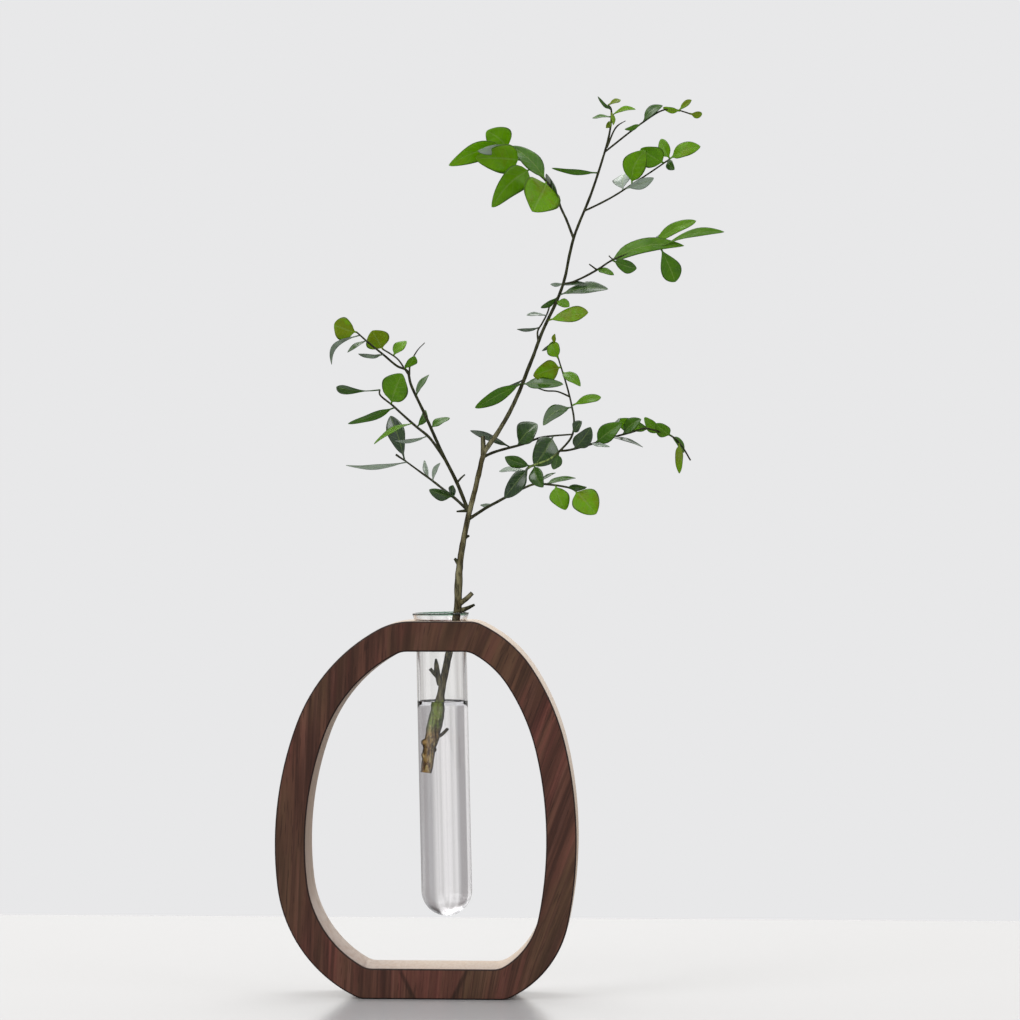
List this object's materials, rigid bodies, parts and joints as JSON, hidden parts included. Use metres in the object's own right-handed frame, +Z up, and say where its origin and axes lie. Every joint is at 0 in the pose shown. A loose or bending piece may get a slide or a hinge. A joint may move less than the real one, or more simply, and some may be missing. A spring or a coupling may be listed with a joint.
{
  "type": "test tube bud vase",
  "caption": "Pebble-shaped wooden board frame with a glass test tube hung through its top rail, holding water and one leafy sprig.",
  "frame": {"origin": "middle of the depth of the board's flat base, on the table, straight under the axis of the hole in the top rail", "axes": "+Z up, +X along the board to the right as seen from the front, +Y through the board away from the front"},
  "size_m": [0.2204, 0.0598, 0.4434],
  "materials": {
    "walnut": "satin oiled walnut, grain upright",
    "tube_glass": "clear polished",
    "water": "clear, still",
    "bark": "thin matt bark",
    "leaf": "satin leaf, pale rib"
  },
  "bodies": {
    "board": {"board_frame": "walnut"},
    "tube": {"test_tube": "tube_glass", "water": "water"},
    "sprig": {"leaves_crown_high": "leaf", "leaves_crown_low": "leaf", "leaves_left_back": "leaf", "leaves_left_high": "leaf", "leaves_left_low": "leaf", "leaves_left_side": "leaf", "leaves_right_droop": "leaf", "leaves_right_inner": "leaf", "leaves_right_low": "leaf", "leaves_right_mid": "leaf", "leaves_stem": "leaf", "leaves_top_left": "leaf", "leaves_upper_right": "leaf", "leaves_upper_side": "leaf", "stem": "bark", "twig_crown_high": "bark", "twig_crown_low": "bark", "twig_left_back": "bark", "twig_left_high": "bark", "twig_left_low": "bark", "twig_left_side": "bark", "twig_right_droop": "bark", "twig_right_inner": "bark", "twig_right_low": "bark", "twig_right_mid": "bark", "twig_top_left": "bark", "twig_upper_right": "bark", "twig_upper_side": "bark"}
  },
  "joints": [
    {"name": "tube_lift", "type": "slide", "parent": "board", "child": "tube", "axis": [-0.0223, 0, 0.9998], "range_m": [0, 0.155]},
    {"name": "sprig_lift", "type": "slide", "parent": "tube", "child": "sprig", "axis": [-0.0223, 0, 0.9998], "range_m": [0, 0.085], "deforming": ["water"]}
  ]
}
